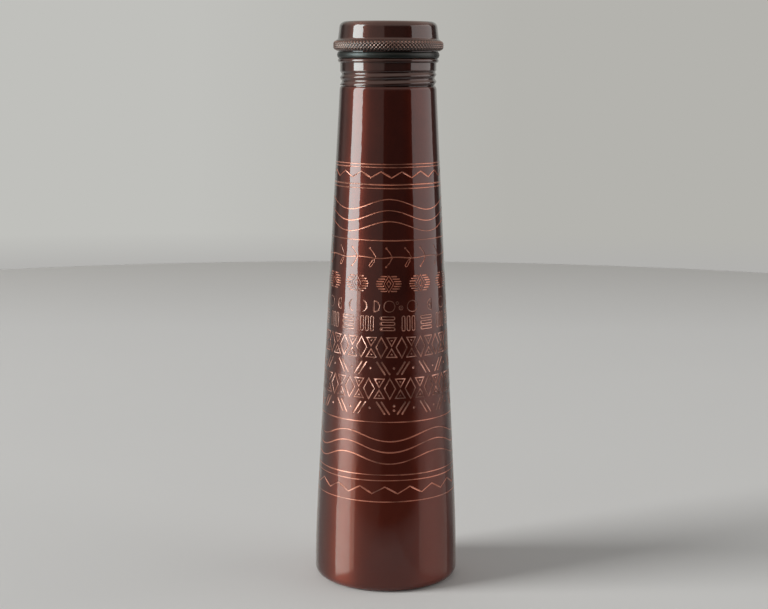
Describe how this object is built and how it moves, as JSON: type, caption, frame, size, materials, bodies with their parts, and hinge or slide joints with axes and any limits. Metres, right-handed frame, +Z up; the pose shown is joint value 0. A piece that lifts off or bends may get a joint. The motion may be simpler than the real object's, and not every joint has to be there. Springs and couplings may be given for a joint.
{
  "type": "water bottle",
  "caption": "Tall tapering copper water bottle: etched wall, short threaded neck, recessed base, and a screw cap with a knurled grip ring, a hollow threaded plug and a rubber gasket.",
  "frame": {"origin": "centre of the flat foot ring that the bottle stands on", "axes": "+Z up along the bottle's axis, towards the cap; +X and +Y are free, and a crest of the neck's thread crosses the +X side 263.4 mm up"},
  "size_m": [0.075, 0.075, 0.29],
  "materials": {
    "copper_lacquered": "antique dark-brown copper under glossy clear lacquer, brushed in its lower part, with the etched ornament in bright copper",
    "copper_knurled": "antique dark-brown copper, fine diamond knurl",
    "copper_bare": "bare copper, satin",
    "gasket_rubber": "dark green-black rubber, smooth"
  },
  "bodies": {
    "bottle": {"body_shell": "copper_lacquered", "neck_collar": "copper_lacquered", "base_disc": "copper_lacquered"},
    "gasket": {"cap_gasket": "gasket_rubber"},
    "cap": {"cap_shell": "copper_lacquered", "cap_knurled_ring": "copper_knurled", "cap_plug_sleeve": "copper_bare", "cap_plug_disc": "copper_bare"}
  },
  "joints": [
    {"name": "cap_lift", "type": "slide", "parent": "bottle", "child": "gasket", "axis": [0, 0, 1], "range_m": [0, 0.018]},
    {"name": "cap_turn", "type": "hinge", "parent": "gasket", "child": "cap", "pos_m": [0, 0, 0.2715], "axis": [0, 0, 1], "range_deg": [0, 1800]}
  ],
  "couplings": [
    {"joint": "cap_lift", "follows": "cap_turn", "m_per_rad": 0.00057296}
  ]
}
